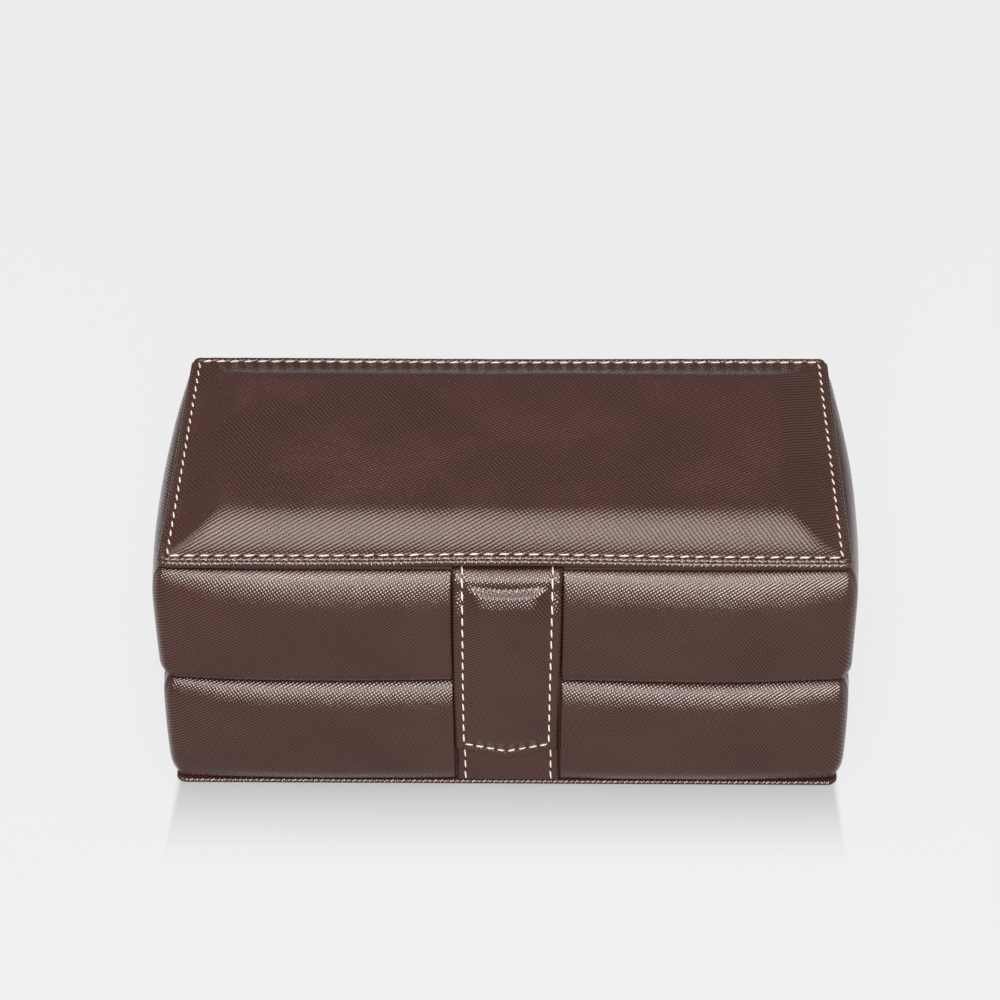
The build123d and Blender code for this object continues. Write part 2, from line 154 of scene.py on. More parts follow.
def cutAlong(bm, axis, places):
    # Adds rows of edges, so that a long plate can bow
    normal = Vector((0, 0, 0))
    normal[axis] = 1
    for place in places:
        bmesh.ops.bisect_plane(bm, geom=bm.verts[:] + bm.edges[:] + bm.faces[:], dist=1e-7,
                               plane_co=normal * place, plane_no=normal)


def softBlock(low, high, corner, edge, segments=3):
    # A covered board: upright corners rounded first, then every edge softened
    bm = bmesh.new()
    bmesh.ops.create_cube(bm, size=1)
    middle = [(a + b) / 2 for a, b in zip(low, high)]
    bmesh.ops.scale(bm, vec=[b - a for a, b in zip(low, high)], verts=bm.verts)
    bmesh.ops.translate(bm, vec=middle, verts=bm.verts)
    if corner:
        upright = [e for e in bm.edges if abs(e.verts[0].co.z - e.verts[1].co.z) > 1e-6]
        bmesh.ops.bevel(bm, geom=upright, offset=corner, segments=6, affect="EDGES", profile=0.5, material=-1)
    rims = [e for e in bm.edges if len(e.link_faces) == 2 and e.calc_face_angle(0) > 0.6]
    bmesh.ops.bevel(bm, geom=rims, offset=edge, segments=segments, affect="EDGES", profile=0.5, material=-1)
    return bm


def slab(given, segments, *pitches):
    # A covered board about the middle, from a piece's own values, with rows of edges along x and y
    halves = (given["halfX"], given["halfY"])
    low, high = (-halves[0], -halves[1], given["low"]), (*halves, given["high"])
    bm = softBlock(low, high, given["corner"], given["edge"], segments)
    for axis, (pitch, count) in enumerate(pitches):
        cutAlong(bm, axis, [number * pitch for number in range(-count, count + 1)])
    outward(bm)
    return bm


def drawOut(bm, face, stations, axis, middle):
    # Pulls a round face along an axis, ring by ring: distance so far and share of the radius
    direction = Vector((0, 0, 0))
    direction[axis] = 1
    before, previous = stations[0]
    for number, (distance, share) in enumerate(stations[1:]):
        made = bmesh.ops.extrude_face_region(bm, geom=[face])
        if number:
            bmesh.ops.delete(bm, geom=[face], context="FACES_ONLY")
        face = next(item for item in made["geom"] if isinstance(item, bmesh.types.BMFace))
        ring = vertsOf(made)
        bmesh.ops.translate(bm, vec=direction * (distance - before), verts=ring)
        for vert in ring:
            for side in {0, 1, 2} - {axis}:
                vert.co[side] = middle[side] + (vert.co[side] - middle[side]) * (share / previous)
        before, previous = distance, share


def plump(piece, given, held):
    # Fills a sewn cover with air as a cloth simulation; held says which points can't move
    scene = bpy.context.scene
    rest = [vert.co.copy() for vert in piece.data.vertices]
    pinned = piece.vertex_groups.new(name="held")
    pinned.add([vert.index for vert in piece.data.vertices if held(vert.co)], 1.0, "REPLACE")
    cloth = piece.modifiers.new("cover", "CLOTH")
    cloth.settings.use_pressure = True
    cloth.settings.uniform_pressure_force = given["air"]
    cloth.settings.shrink_min = given["slack"]
    cloth.settings.vertex_group_mass = "held"
    cloth.settings.effector_weights.gravity = 0
    for number in range(1, 21):
        scene.frame_set(number)
    filled = piece.evaluated_get(bpy.context.evaluated_depsgraph_get()).data
    places = [vert.co.copy() for vert in filled.vertices]
    piece.modifiers.remove(cloth)
    piece.vertex_groups.remove(pinned)
    for vert, before, after in zip(piece.data.vertices, rest, places):
        move = after - before
        if move.length > given["most"]:
            move *= given["most"] / move.length
        vert.co = before + move
    scene.frame_set(1)


# Finishes

def newMaterial(name):
    material = bpy.data.materials.new(name)
    material.use_nodes = True
    tree = material.node_tree
    return material, tree, tree.nodes["Principled BSDF"]


def feed(sockets, given):
    # Each socket takes a constant or the output of another node
    for key, value in given.items():
        socket = sockets[key]
        if isinstance(value, bpy.types.NodeSocket):
            socket.id_data.links.new(value, socket)
        else:
            socket.default_value = value


def newNode(tree, kind, given):
    node = tree.nodes.new("ShaderNode" + kind)
    feed(node.inputs, given)
    return node


def placeOf(tree, source="Object"):
    return tree.nodes.new("ShaderNodeTexCoord").outputs[source]


def mathNode(tree, operation, *values):
    node = tree.nodes.new("ShaderNodeMath")
    node.operation = operation
    feed(node.inputs, dict(enumerate(values)))
    return node.outputs[0]


def mixColour(tree, factor, first, second):
    node = tree.nodes.new("ShaderNodeMix")
    node.data_type = "RGBA"
    colours = [(*value, 1) if isinstance(value, tuple) else value for value in (first, second)]
    feed(node.inputs, {"Factor": factor, 6: colours[0], 7: colours[1]})
    return node.outputs[2]


def noiseNode(tree, place, scale, detail=3.0, roughness=0.55, output="Fac"):
    given = {"Vector": place, "Scale": scale, "Detail": detail, "Roughness": roughness}
    return newNode(tree, "TexNoise", given).outputs[output]


def rampNode(tree, value, low, high, toLow=0.0, toHigh=1.0):
    node = newNode(tree, "MapRange", {"From Min": low, "From Max": high, "To Min": toLow, "To Max": toHigh})
    node.interpolation_type = "SMOOTHSTEP"
    feed(node.inputs, {"Value": value})
    return node.outputs["Result"]


def bumpNode(tree, height, distance, strength=1.0):
    given = {"Height": height, "Distance": distance, "Strength": strength}
    return newNode(tree, "Bump", given).outputs["Normal"]


# Cross-grained leather: two families of fine pressed lines, at right angles
leather = {
    "pitch": 0.00112,
    "lidPitch": 0.00142,     # the hide on the lid is pressed wider
    "lidLitTone": 1.15,         # and a little paler: painted light, a lit copy of the same leather for the lid's top
    "turn": -33.0,
    "line": 0.44,            # half a line's width, in pitches
    "presses": {"X": (0.4, 0.85), "Y": (1.0, 0.75)},  # how deep each family lies, from patch to patch
    "wander": 0.45,
    "wanderScale": 260.0,
    "patchScale": 25.0,
    "ridge": (0.063, 0.0225, 0.0172),
    # the colour in the pressed lines is painted shade, much darker than the ridges
    "groove": (0.006, 0.0021, 0.0017),
    "patch": (0.058, 0.0205, 0.0157),
    "smooth": 0.18,
    "rough": 0.36,
    "depth": 0.000125,
    "crown": 0.35,
    "fine": 0.12,
    "fineScale": 2600.0,
}


def makeLeather(name, pitch, tone=1.0):
    material, tree, shader = newMaterial(name)
    place = placeOf(tree, "UV")
    turn = (0, 0, math.radians(leather["turn"]))
    turned = newNode(tree, "Mapping", {"Vector": place, "Rotation": turn, "Scale": [1 / pitch] * 3})
    wander = noiseNode(tree, place, leather["wanderScale"], 2.0, output="Color")
    drift = tree.nodes.new("ShaderNodeVectorMath")
    drift.operation = "MULTIPLY_ADD"
    feed(drift.inputs, {0: wander, 1: [leather["wander"]] * 3, 2: turned.outputs[0]})
    apart = newNode(tree, "SeparateXYZ", {0: drift.outputs[0]})
    patches = noiseNode(tree, place, leather["patchScale"], 2.0)
    families, crowns = [], []
    for axis, (low, high) in leather["presses"].items():
        across = mathNode(tree, "PINGPONG", apart.outputs[axis], 0.5)
        line = rampNode(tree, across, 0.0, leather["line"], 1.0, 0.0)
        pressed = mathNode(tree, "MULTIPLY", line, rampNode(tree, patches, 0.38, 0.62, low, high))
        families.append(mathNode(tree, "SUBTRACT", 1.0, pressed))
        crowns.append(across)
    height = mathNode(tree, "MULTIPLY", *families)
    crown = mathNode(tree, "MULTIPLY", mathNode(tree, "ADD", *crowns), leather["crown"])
    fine = noiseNode(tree, place, leather["fineScale"], 2.0)
    relief = mathNode(tree, "MULTIPLY_ADD", fine, leather["fine"], mathNode(tree, "ADD", height, crown))
    ridge, patch = (tuple(part * tone for part in leather[key]) for key in ("ridge", "patch"))
    cloud = rampNode(tree, noiseNode(tree, place, 28.0, 4.0, 0.6), 0.35, 0.7)
    clouded = mixColour(tree, cloud, ridge, patch)
    feed(shader.inputs, {
        # darker where the relief is low: painted shade in the pressed lines
        "Base Color": mixColour(tree, rampNode(tree, height, 0.05, 0.6), leather["groove"], clouded),
        "Roughness": rampNode(tree, height, 0.0, 0.35, leather["rough"], leather["smooth"]),
        "Specular IOR Level": 0.9,
        "Specular Tint": (1.0, 0.92, 0.86, 1),
        "Normal": bumpNode(tree, relief, leather["depth"]),
    })
    return material


def makeThread():
    material, tree, shader = newMaterial("creamThread")
    place = placeOf(tree)
    strands = newNode(tree, "TexWave", {"Vector": place, "Scale": 900.0, "Distortion": 1.5})
    strands.wave_type, strands.bands_direction = "BANDS", "DIAGONAL"
    twist = strands.outputs["Fac"]
    soil = noiseNode(tree, place, 190.0, 2.0)
    tone = mixColour(tree, soil, (0.74, 0.66, 0.57), (0.64, 0.55, 0.46))
    feed(shader.inputs, {
        # darker between the twists, where the bump is low: painted shade
        "Base Color": mixColour(tree, twist, (0.56, 0.47, 0.38), tone),
        "Roughness": 0.62,
        "Sheen Weight": 0.25,
        "Normal": bumpNode(tree, twist, 0.00006),
    })
    return material


def mottle(tree, fine, coarse, share):
    # Two noises in one: fine has the given share
    return mathNode(tree, "MULTIPLY_ADD", fine, share, mathNode(tree, "MULTIPLY", coarse, 1 - share))


def makeSuede(name, light, dark, scale=1.0):
    material, tree, shader = newMaterial(name)
    place = placeOf(tree)
    nap = noiseNode(tree, place, 1500.0 * scale, 3.0, 0.7)
    mottled = mottle(tree, nap, noiseNode(tree, place, 42.0, 4.0, 0.6), 0.62)
    feed(shader.inputs, {
        "Base Color": mixColour(tree, rampNode(tree, mottled, 0.32, 0.68), dark, light),
        "Roughness": 0.9,
        "Specular IOR Level": 0.2,
        "Sheen Weight": 0.45,
        "Sheen Roughness": 0.4,
        "Normal": bumpNode(tree, nap, 0.0002, 0.8),
    })
    return material


def makeBoard():
    material, tree, shader = newMaterial("brownPaper")
    place = placeOf(tree)
    fibre = noiseNode(tree, place, 700.0, 5.0, 0.7)
    mottled = rampNode(tree, mottle(tree, fibre, noiseNode(tree, place, 22.0), 0.5), 0.3, 0.7)
    feed(shader.inputs, {
        "Base Color": mixColour(tree, mottled, (0.032, 0.015, 0.012), (0.075, 0.036, 0.028)),
        "Roughness": 0.7,
        "Normal": bumpNode(tree, fibre, 0.0001),
    })
    return material


def makeMetal(name, bright, dull, smooth, rough):
    material, tree, shader = newMaterial(name)
    place = placeOf(tree)
    stretched = newNode(tree, "Mapping", {"Vector": place, "Scale": (0.12, 1.0, 1.0)})
    brushed = noiseNode(tree, stretched.outputs[0], 2200.0, 2.0)
    tarnish = rampNode(tree, noiseNode(tree, place, 160.0, 4.0, 0.6), 0.35, 0.75)
    feed(shader.inputs, {
        "Base Color": mixColour(tree, tarnish, bright, dull),
        "Roughness": rampNode(tree, brushed, 0.3, 0.7, smooth, rough),
        "Metallic": 1.0,
        "Normal": bumpNode(tree, brushed, 0.000004),
    })
    return material


wrappedLeather = makeLeather("wrappedLeather", leather["pitch"])
# the lid panel's copy of the leather is painted paler, as painted light on its upward face
lidLeather = makeLeather("lidLeather", leather["lidPitch"], leather["lidLitTone"])
creamThread = makeThread()
beigeSuede = makeSuede("beigeSuede", (0.53, 0.425, 0.31), (0.40, 0.312, 0.22))
darkFelt = makeSuede("darkFelt", (0.045, 0.034, 0.03), (0.02, 0.015, 0.013), 0.6)
brownPaper = makeBoard()
polishedBrass = makeMetal("polishedBrass", (0.78, 0.57, 0.26), (0.55, 0.38, 0.17), 0.14, 0.3)
platedSteel = makeMetal("platedSteel", (0.60, 0.60, 0.61), (0.42, 0.42, 0.43), 0.2, 0.38)
# near-black colour for the needle holes: painted shade
holeShade, _, holeShader = newMaterial("needleHole")
feed(holeShader.inputs, {"Base Color": (0.012, 0.005, 0.004, 1), "Roughness": 0.85})
print("finishes made")

# Padding of the two tiers
padding = {
    "halfX": 0.122,
    "halfY": 0.0615,
    "turn": 0.0015,          # the boards' own corners
    "slotRound": 0.0009,
    "slotEdge": 0.86,        # share of the thickness left at the slot's edges
    "slotFade": 0.01,
    "slotShare": 0.8,
    "cornerShare": 0.62,
    "cornerLength": 0.0075,  # leather from wall to wall round a corner
    "step": 0.003,
    "endSteps": (0.0002, 0.0005, 0.001, 0.0018),
    "rows": (8, 9, 11),      # foot, face and shoulder
    "upper": {"low": 0.05268, "high": 0.1038, "thick": 0.0083, "foot": 0.0075, "shoulder": 0.0165,
              "square": 2.3, "barrel": 0.03, "lean": 0.02,
              "slot": (-0.0187, 0.0212), "slotFoot": (-0.0189, 0.0204)},
    "lower": {"low": 0.00292, "high": 0.05212, "thick": 0.0081, "foot": 0.011, "shoulder": 0.011,
              "square": 2.5, "barrel": 0.13, "lean": 0.0,
              "slot": (-0.0189, 0.0206), "slotFoot": (-0.0190, 0.0202)},
    "partY": -0.0554,
    "partGap": 0.0003,
    "hingeX": 0.070,
    "hingeHalf": 0.0162,
    "hingeDip": 0.0018,
    "hingeFade": 0.0012,
    "wave": 0.00028,
    "pucker": 0.00016,
    "fold": 0.00035,
    "clear": 0.0008,         # room between a parting line and the next station
}


def padProfile(tier):
    # Rows up the outer face: height above the foot, share of the thickness, leather's length so far
    footRows, faceRows, shoulderRows = padding["rows"]
    tall = tier["high"] - tier["low"]
    foot, shoulder = tier["foot"], tier["shoulder"]
    power = 2 / tier["square"]
    rows = []
    for number in range(footRows):
        angle = math.pi / 2 * number / footRows
        rows.append((foot * (1 - math.cos(angle)), math.sin(angle)))
    for number in range(faceRows):
        rows.append((foot + (tall - foot - shoulder) * number / faceRows, 1.0))
    for number in range(shoulderRows + 1):
        angle = math.pi / 2 * (1 - number / shoulderRows)
        rows.append((tall - shoulder * (1 - math.cos(angle) ** power), max(math.sin(angle), 0.0) ** power))
    profile = []
    for height, out in rows:
        q = 2 * height / tall - 1
        out *= (1 - tier["barrel"] * q * q) * (1 + tier["lean"] * q)
        length = 0.0
        if profile:
            before = profile[-1]
            length = before[2] + math.hypot(height - before[0], (out - before[1]) * tier["thick"])
        profile.append((height, out, length))
    return profile


def ringStations(tier):
    # Points along the walls from the slot's left edge, round the box, to its right edge
    p = padding
    slotLeft, slotRight = tier["slot"]
    hx, hy, r = p["halfX"], p["halfY"], p["turn"]
    runs = [
        (Vector((slotLeft, -hy)), Vector((-hx + r, -hy)), Vector((0, -1))),
        (Vector((-hx, -hy + r)), Vector((-hx, hy - r)), Vector((-1, 0))),
        (Vector((-hx + r, hy)), Vector((hx - r, hy)), Vector((0, 1))),
        (Vector((hx, hy - r)), Vector((hx, -hy + r)), Vector((1, 0))),
        (Vector((hx - r, -hy)), Vector((slotRight, -hy)), Vector((0, -1))),
    ]
    stations = []
    travelled = 0.0
    for index, (start, end, normal) in enumerate(runs):
        length = (end - start).length
        count = max(2, round(length / p["step"]))
        shares = [number / count for number in range(count + 1)]
        close = [distance / length for distance in p["endSteps"]]
        if index == 0:
            shares = sorted(shares + close)
        if index == len(runs) - 1:
            shares = sorted(shares + [1 - share for share in close])
        for share in shares:
            q = 2 * share - 1
            besideSlot = (index == 0 and q < 0) or (index == len(runs) - 1 and q > 0)
            least = p["slotShare"] if besideSlot else p["cornerShare"]
            bulge = least + (1 - least) * (1 - q * q)
            slotDistance = 1.0
            if index == 0:
                slotDistance = share * length
            if index == len(runs) - 1:
                slotDistance = (1 - share) * length
            along = travelled + share * length
            stations.append((start.lerp(end, share), normal.copy(), bulge, along, slotDistance, index))
        travelled += length
        if index < len(runs) - 1:
            centre = end - normal * r
            nextNormal = runs[index + 1][2]
            for number in range(1, 7):
                angle = number / 7
                quarter = angle * math.pi / 2
                turned = (normal * math.cos(quarter) + nextNormal * math.sin(quarter)).normalized()
                along = travelled + p["cornerLength"] * angle
                stations.append((centre + turned * r, turned, p["cornerShare"], along, 1.0, index + 0.5))
            travelled += p["cornerLength"]
    return stations


def wrappedPad(name, stations, tier, body, replaced, roundEnds):
    p = padding
    profile = padProfile(tier)
    tall = tier["high"] - tier["low"]
    rowsOut, rowsIn = sum(p["rows"]), 4
    rows = rowsOut + rowsIn
    columns = len(stations) - 1
    bm = bmesh.new()
    bmesh.ops.create_grid(bm, x_segments=columns, y_segments=rows, size=1)
    layer = bm.loops.layers.uv.new("grain")
    grain = {}
    for vert in bm.verts:
        column = round((vert.co.x + 1) / 2 * columns)
        row = round((vert.co.y + 1) / 2 * rows)
        point, normal, bulge, travelled, slotDistance, wall = stations[column]
        top = tier["high"]
        if tier is p["upper"] and wall == 2:
            near = min(abs(point.x - x) for x in (-p["hingeX"], p["hingeX"]))
            top -= p["hingeDip"] * ease((p["hingeHalf"] + p["hingeFade"] - near) / p["hingeFade"])
        if row <= rowsOut:
            height, out, length = profile[row]
        else:
            height, out = tall * (1 - (row - rowsOut) / rowsIn), 0.0
            length = profile[-1][2] + tall - height
        share = height / tall
        z = tier["low"] + share * (top - tier["low"])
        if wall in (0, 4):  # the slot's edges lean as the strap does
            lean = tier["slotFoot"][wall // 4] - tier["slot"][wall // 4]
            lean *= (1 - share) * ease(1 - slotDistance / p["slotFade"])
            point = Vector((point.x + lean, point.y))
        thick = tier["thick"] * bulge * out
        if roundEnds and slotDistance < p["slotRound"]:
            gone = 1 - slotDistance / p["slotRound"]
            thick *= p["slotEdge"] + (1 - p["slotEdge"]) * math.sqrt(max(0.0, 1 - gone * gone))
        place = Vector((point.x + normal.x * thick, point.y + normal.y * thick, z))
        if out > 0.02:
            wave = noise.noise(place * 28) * p["wave"]
            edge = ease(1 - min(share, 1 - share) / 0.22)
            pucker = ripple(travelled * 150, share * 3, 7.1) * p["pucker"] * edge
            fold = p["fold"] * edge * (1 if wall % 1 else 0) * math.sin(travelled * 4200)
            push = (wave + pucker + fold) * min(1.0, out * 1.5)
            place += Vector((normal.x, normal.y, 0)) * push
        vert.co = place
        grain[vert] = (-travelled, length)
    layGrain(bm, layer, grain.get)
    bmesh.ops.remove_doubles(bm, verts=bm.verts, dist=1e-6)
    closeHoles(bm)
    outward(bm)
    piece = newPiece(name, bm, body, wrappedLeather, replaced)
    subdivide(piece)


upperStations, lowerStations = ringStations(padding["upper"]), ringStations(padding["lower"])
wrappedPad("upperPadding", upperStations, padding["upper"], "casing",
           ["upper_front_left_pad", "upper_front_right_pad", "upper_left_pad", "upper_right_pad",
            "upper_back_pad"], True)


def partedStations(low, high):
    # The stretch of wall between two parting lines on the sides
    return [station for station in lowerStations if low <= station[3] <= high]


def wallStation(wall, y):
    # One station made at a parting line on a side wall
    rows = [s for s in lowerStations if s[5] == wall]
    for first, second in zip(rows, rows[1:]):
        y0, y1 = first[0].y, second[0].y
        if min(y0, y1) <= y <= max(y0, y1):
            t = (y - y0) / (y1 - y0)
            bulge, along = (first[n] + t * (second[n] - first[n]) for n in (2, 3))
            return first[0].lerp(second[0], t), first[1], bulge, along, 1.0, wall


frontCut, backCut = padding["partY"] - padding["partGap"], padding["partY"] + padding["partGap"]
near, clear = padding["endSteps"][1], padding["clear"]
leftFront, leftBack = wallStation(1, frontCut), wallStation(1, backCut)
rightFront, rightBack = wallStation(3, frontCut), wallStation(3, backCut)
leftRun = partedStations(-1, leftFront[3] - clear) + [wallStation(1, frontCut - near), leftFront]
middleRun = [leftBack, wallStation(1, backCut + near)]
middleRun += partedStations(leftBack[3] + clear, rightBack[3] - clear)
middleRun += [wallStation(3, backCut + near), rightBack]
rightRun = [rightFront, wallStation(3, frontCut - near)] + partedStations(rightFront[3] + clear, 9)
wrappedPad("drawerPadLeft", leftRun, padding["lower"], "drawer", ["drawer_front_left_pad"], True)
wrappedPad("lowerPadding", middleRun, padding["lower"], "casing",
           ["lower_left_pad", "lower_right_pad", "lower_back_pad"], False)
wrappedPad("drawerPadRight", rightRun, padding["lower"], "drawer", ["drawer_front_right_pad"], True)
print("padding made")

# The lid: a covered board and the stitched panel on it
lid = {
    "halfX": 0.124,
    "halfY": 0.0635,
    "low": 0.1047,
    "high": 0.1072,          # top of the board
    "corner": 0.0032,
    "edge": 0.0009,
    "panelHalfX": 0.1229,
    "panelHalfY": 0.0630,
    "rimTop": 0.1083,
    "rim": 0.0048,
    "run": 0.0176,
    "top": 0.1149,
    "stitchIn": 0.0025,
    # The front edge rides up over the strap, and the back edge sags a little
    "frontBow": {"lift": 0.0011, "x": 0.0015, "wide": 0.048, "from": 0.028, "over": 0.034},
    "backSag": {"lift": -0.0004, "x": 0.0, "wide": 0.07, "from": 0.04, "over": 0.022},
    "wrinkle": {"deep": 0.00035, "x": -0.108, "wide": 0.009, "reach": 0.016},  # near the front left corner
    "edgeRound": 0.0005,
    "welt": (0.00012, 0.0011, 0.0006),  # height, place and width of the soft ridge outside the stitches
    "sewnDepth": 0.00042,
    "blend": 0.0007,         # from the stitches to the start of the slope
    "mitre": 0.004,          # how wide the fold at each corner of the slope is
    "wave": 0.00022,
    "rimWave": 0.00012,
    "ringPitch": 0.0042,
    "rings": [0, 0.00012, 0.0003, 0.00055, 0.0008, 0.0011, 0.0014, 0.0017, 0.0019, 0.0021, 0.0023, 0.0026,
              0.003, 0.0035, 0.0042, 0.005, 0.006, 0.0071, 0.0083, 0.0096, 0.011, 0.0124, 0.0138, 0.0152,
              0.0167, 0.0183, 0.02, 0.0222, 0.0248, 0.028, 0.0315],
}


def lidBow(x, y):
    lift = 0.0
    for bend, out in ((lid["frontBow"], -y), (lid["backSag"], y)):
        across = bell((x - bend["x"]) / bend["wide"])
        lift += bend["lift"] * across * ease((out - bend["from"]) / bend["over"])
    return lift


def boardCover():
    bm = slab(lid, 5, (0.004, 29), (0.006, 9))
    boxUv(bm)
    wrinkle = lid["wrinkle"]
    for vert in bm.verts:
        x, y, z = vert.co
        vert.co.z += lidBow(x, y)
        if y < -0.06 and z < lid["low"] + 0.0016:
            vert.co.y += 0.00018 * ripple(x * 60, 3.0, 0.5)
        if y < -0.062 and abs(x - wrinkle["x"]) < wrinkle["reach"]:
            vert.co.y -= wrinkle["deep"] * bell((x - wrinkle["x"]) / wrinkle["wide"])
    newPiece("lidBoardCover", bm, "lid", wrappedLeather, ["lid_board"])


boardCover()


def panelHeight(distance):
    # Height of the panel's leather at a distance in from its edge
    rimTop, rim, run, top = lid["rimTop"], lid["rim"], lid["run"], lid["top"]
    stitch, edge, blend = lid["stitchIn"], lid["edgeRound"], lid["blend"]
    welt, weltAt, weltWide = lid["welt"]
    height = rimTop
    height -= edge * (1 - math.sqrt(max(0.0, 1 - (1 - min(distance / edge, 1.0)) ** 2)))
    height += welt * bell((distance - weltAt) / weltWide)
    height -= lid["sewnDepth"] * bell((distance - stitch) / lid["sewnDepth"])
    t = (distance - (stitch + blend)) / (run + rim - stitch - blend)
    if t > 0:
        t = min(t, 1.0)
        height += (top - rimTop) * t * t * (3 - 2 * t)
    return height


def slopeTable(step=0.0001, reach=0.026):
    # How much longer the leather is than its plan, from the flat top out to each distance from the edge
    extras = [0.0]
    for number in range(round(reach / step), 0, -1):
        rise = panelHeight(number * step) - panelHeight((number - 1) * step)
        extras.insert(0, extras[0] + math.hypot(step, rise) - step)
    return extras


slopeExtras = slopeTable()


def slopeExtra(distance, step=0.0001):
    return slopeExtras[min(round(distance / step), len(slopeExtras) - 1)]


def lidPanel():
    hx, hy, r = lid["panelHalfX"], lid["panelHalfY"], lid["corner"] * 0.8
    rings, mitre = lid["rings"], lid["mitre"]

    def columns(half):
        left = [-half + d for d in rings if d < half]
        inner = half - rings[-1]
        count = max(2, round(2 * inner / lid["ringPitch"]))
        middle = [-inner + 2 * inner * n / count for n in range(1, count)]
        return left + middle + [-x for x in reversed(left)]

    xs, ys = columns(hx), columns(hy)
    bm = bmesh.new()
    bmesh.ops.create_grid(bm, x_segments=len(xs) - 1, y_segments=len(ys) - 1, size=1)
    layer = bm.loops.layers.uv.new("grain")
    for vert in bm.verts:
        x = xs[round((vert.co.x + 1) / 2 * (len(xs) - 1))]
        y = ys[round((vert.co.y + 1) / 2 * (len(ys) - 1))]
        dx, dy = hx - abs(x), hy - abs(y)
        if dx < r and dy < r:  # the corner's rings become arcs
            px, py = 1 - dx / r, 1 - dy / r
            reach = math.hypot(px, py)
            if reach > 0:
                scale = max(px, py) / reach
                x = math.copysign(hx - r + px * scale * r, x)
                y = math.copysign(hy - r + py * scale * r, y)
        distance = min(dx, dy)
        gap = abs(dx - dy)
        if gap < mitre and distance > 0.003:
            distance -= (mitre - gap) ** 2 / (4 * mitre) * ease((distance - 0.003) / 0.006)
        z = panelHeight(distance)
        inside = ease(distance / 0.02)
        z += inside * lid["wave"] * ripple(x * 22, y * 22, 4.4)
        z += lid["rimWave"] * ripple(x * 190, y * 190, 1.7) * (1 - inside)
        vert.co = (x, y, z + lidBow(x, y))

    def unrolled(vert):
        x, y, _ = vert.co
        dx, dy = hx - abs(x), hy - abs(y)
        extra = slopeExtra(min(dx, dy))
        share = ease((dy - dx) / mitre + 0.5)
        return x + math.copysign(extra * share, x), y + math.copysign(extra * (1 - share), y)

    layGrain(bm, layer, unrolled)
    skirt = bmesh.ops.extrude_edge_only(bm, edges=[e for e in bm.edges if e.is_boundary])
    for vert in vertsOf(skirt):
        vert.co.z = lid["high"] - 0.0003 + lidBow(vert.co.x, vert.co.y)
        vert.co.x *= 0.9985
        vert.co.y *= 0.997
    closeHoles(bm)
    outward(bm)
    piece = newPiece("lidPanel", bm, "lid", lidLeather, ["lid_panel"])


lidPanel()
print("lid made")

# Sewing: separate stitches, with a dark blob of painted shade for the needle hole at each end
sewing = {
    "pitch": 0.00534,
    "length": 0.0043,
    "width": 0.00064,
    "height": 0.0006,
    "hole": (0.00036, 0.00014, 0.0005),  # half sizes across, deep and along
    "lidSlant": 12.0,
    "strapSlant": 4.0,
    "veePitch": 0.0042,
}


def addStitch(bm, centre, along, normal, pitch, slant):
    side = normal.cross(along).normalized()
    turn = math.radians(slant * random.uniform(0.5, 1.4))
    ahead = (along * math.cos(turn) + side * math.sin(turn)).normalized()
    side = normal.cross(ahead).normalized()
    length = sewing["length"] * pitch / sewing["pitch"] * random.uniform(0.94, 1.04)
    halves = (side * sewing["width"] / 2, normal * sewing["height"] / 2, ahead * length / 2)
    scale = Matrix(halves).transposed().to_4x4()
    scale.translation = centre + normal * sewing["height"] * 0.18
    made = bmesh.ops.create_uvsphere(bm, u_segments=8, v_segments=8, radius=1, matrix=scale)
    for vert in made["verts"]:  # the ends dive into their holes
        offset = (vert.co - centre).dot(ahead) / (length / 2)
        vert.co -= normal * sewing["height"] * 0.55 * abs(offset) ** 3


# a dark blob set into the surface: painted shade for a needle hole
def addHole(bm, centre, along, normal):
    side = normal.cross(along).normalized()
    wide, deep, long = sewing["hole"]
    scale = Matrix((side * wide, normal * deep, along * long)).transposed().to_4x4()
    scale.translation = centre - normal * 0.00006
    bmesh.ops.create_uvsphere(bm, u_segments=8, v_segments=4, radius=1, matrix=scale)


def sewRow(thread, holes, path, slant, pitch=None):
    # path is a list of (point, normal), close together, along the row
    lengths = [0.0]
    for first, second in zip(path, path[1:]):
        lengths.append(lengths[-1] + (second[0] - first[0]).length)
    total = lengths[-1]
    count = max(1, round(total / (pitch or sewing["pitch"])))
    step = total / count

    def at(distance):
        distance = min(max(distance, 0.0), total)
        for index in range(1, len(lengths)):
            if lengths[index] >= distance:
                t = (distance - lengths[index - 1]) / max(lengths[index] - lengths[index - 1], 1e-9)
                (point, normal), (nextPoint, nextNormal) = path[index - 1:index + 1]
                return point.lerp(nextPoint, t), normal.lerp(nextNormal, t).normalized()

    for number in range(count):
        start, end = at((number + 0.13) * step), at((number + 0.87) * step)
        middle, normal = at((number + 0.5) * step)
        along = (end[0] - start[0]).normalized()
        addStitch(thread, middle, along, normal, step, slant)
        addHole(holes, at((number + 0.09) * step)[0], along, normal)
        addHole(holes, at((number + 0.91) * step)[0], along, normal)


def sewnPieces(prefix, thread, holes, body):
    return [newPiece(prefix + "Stitches", thread, body, creamThread),
            newPiece(prefix + "NeedleHoleShades", holes, body, holeShade)]


def panelSpot(x, y, stitch):
    z = panelHeight(stitch) + 0.00012 + lidBow(x, y)
    return Vector((x, y, z)), Vector((0, 0, 1))


def sewLid():
    random.seed(41)
    thread, holes = bmesh.new(), bmesh.new()
    stitch = lid["stitchIn"]
    hx, hy = lid["panelHalfX"] - stitch, lid["panelHalfY"] - stitch
    corners = [(-hx, -hy), (hx, -hy), (hx, hy), (-hx, hy)]
    for (x0, y0), (x1, y1) in zip(corners, corners[1:] + corners[:1]):
        path = [panelSpot(x0 + (x1 - x0) * n / 90, y0 + (y1 - y0) * n / 90, stitch) for n in range(91)]
        sewRow(thread, holes, path, sewing["lidSlant"])
    sewnPieces("lid", thread, holes, "lid")


sewLid()

